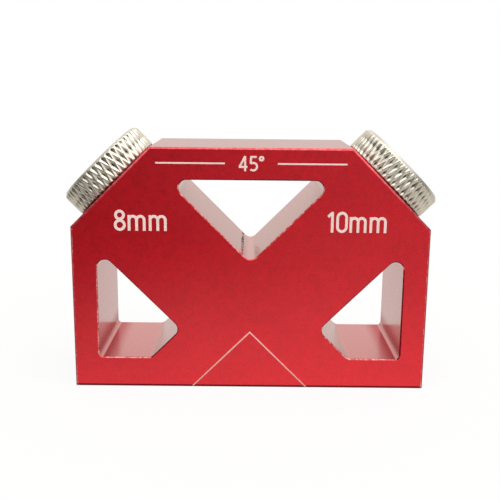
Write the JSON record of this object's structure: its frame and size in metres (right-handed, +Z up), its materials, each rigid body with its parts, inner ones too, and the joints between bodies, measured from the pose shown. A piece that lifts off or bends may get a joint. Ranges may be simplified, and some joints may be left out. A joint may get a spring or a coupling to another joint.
{
  "type": "pocket hole jig",
  "caption": "Red aluminium drill guide block with sloping shoulders, open windows and knurled steel guide bushes that lead a drill into wood at 45 degrees.",
  "frame": {"origin": "middle of the flat bottom face that stands on the work", "axes": "+X to the right across the two bushes, +Y from the marked front face to the back, +Z up"},
  "size_m": [0.0972, 0.03, 0.0656],
  "materials": {
    "red_anodised": "satin red anodised, milled",
    "plated_steel": "nickel plated, diamond knurled head"
  },
  "bodies": {
    "block": {"jig_body": "red_anodised"},
    "left_bush": {"guide_bush_left": "plated_steel"},
    "right_bush": {"guide_bush_right": "plated_steel"}
  },
  "joints": [
    {"name": "left_bush_out", "type": "slide", "parent": "block", "child": "left_bush", "axis": [-0.7071, 0, 0.7071], "range_m": [0, 0.036]},
    {"name": "right_bush_out", "type": "slide", "parent": "block", "child": "right_bush", "axis": [0.7071, 0, 0.7071], "range_m": [0, 0.036]}
  ]
}
